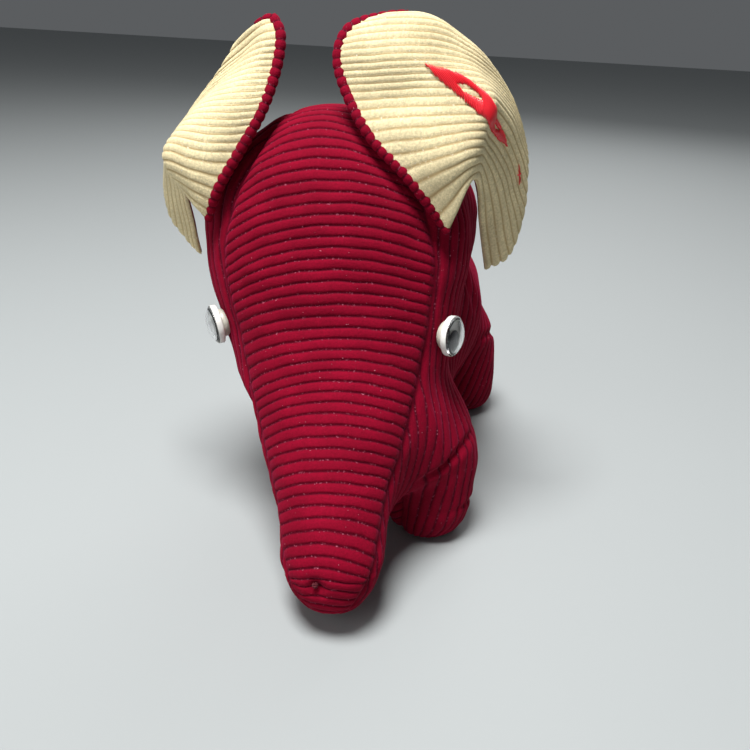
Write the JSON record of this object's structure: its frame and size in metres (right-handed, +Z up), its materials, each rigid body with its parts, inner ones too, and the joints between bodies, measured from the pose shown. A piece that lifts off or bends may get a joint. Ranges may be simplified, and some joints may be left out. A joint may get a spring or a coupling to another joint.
{
  "type": "stuffed elephant",
  "caption": "Stuffed corduroy toy elephant with a long tapering trunk, large floppy lined ears, googly eyes with loose pupils, rounded legs and a short tail.",
  "frame": {"origin": "on the ground, under the middle of the whole toy", "axes": "+Z up, -Y ahead along the body, +X towards the left of the elephant"},
  "size_m": [0.1151, 0.1668, 0.1526],
  "materials": {
    "red_corduroy": "wide-wale cotton corduroy, soft pile",
    "cream_corduroy": "wide-wale cotton corduroy, soft pile",
    "embroidery_thread": "satin stitch in glossy red thread",
    "sewing_thread": "dull red cotton thread",
    "stuffing_fibre": "loose polyester fibre",
    "eye_white": "moulded, slightly yellowed",
    "eye_clear": "clear moulded dome, stands for clear plastic",
    "eye_black": "punched disc",
    "hot_glue": "hardened adhesive"
  },
  "bodies": {
    "body": {"belly_thread": "sewing_thread", "eye_cup_left": "eye_white", "eye_cup_right": "eye_white", "eye_dome_left": "eye_clear", "eye_dome_right": "eye_clear", "eye_glue_left": "hot_glue", "eye_glue_right": "hot_glue", "head_gusset": "red_corduroy", "side_panel_left": "red_corduroy", "side_panel_right": "red_corduroy", "stuffing_body": "stuffing_fibre", "stuffing_head": "stuffing_fibre", "stuffing_leg_front_left": "stuffing_fibre", "stuffing_leg_front_right": "stuffing_fibre", "stuffing_leg_hind_left": "stuffing_fibre", "stuffing_leg_hind_right": "stuffing_fibre", "stuffing_trunk": "stuffing_fibre", "trunk_tip_knot": "sewing_thread", "under_gusset_left": "red_corduroy", "under_gusset_right": "red_corduroy"},
    "ear_left": {"ear_back_left": "red_corduroy", "ear_lining_left": "cream_corduroy", "ear_embroidery": "embroidery_thread"},
    "ear_right": {"ear_back_right": "red_corduroy", "ear_lining_right": "cream_corduroy"},
    "tail": {"tail": "red_corduroy"},
    "pupil_left": {"eye_pupil_left": "eye_black"},
    "pupil_right": {"eye_pupil_right": "eye_black"}
  },
  "joints": [
    {"name": "ear_left_hinge", "type": "hinge", "parent": "body", "child": "ear_left", "pos_m": [0.0329, -0.02248, 0.09787], "axis": [-0.664, 0.1462, 0.7333], "range_deg": [-24, 6], "stiffness_Nm_per_rad": 0.06},
    {"name": "ear_right_hinge", "type": "hinge", "parent": "body", "child": "ear_right", "pos_m": [-0.03648, -0.0219, 0.0958], "axis": [0.4239, 0.1572, 0.892], "range_deg": [-6, 24], "stiffness_Nm_per_rad": 0.06},
    {"name": "tail_hinge", "type": "hinge", "parent": "body", "child": "tail", "pos_m": [0.0153, 0.08005, 0.057], "axis": [1, 0, 0], "range_deg": [-4, 75]},
    {"name": "pupil_left_roll", "type": "hinge", "parent": "body", "child": "pupil_left", "pos_m": [0.03612, -0.02597, 0.06852], "axis": [0.9091, -0.3996, 0.1178], "continuous": true},
    {"name": "pupil_right_roll", "type": "hinge", "parent": "body", "child": "pupil_right", "pos_m": [-0.03395, -0.02359, 0.06454], "axis": [-0.8473, -0.5084, -0.154], "continuous": true}
  ]
}
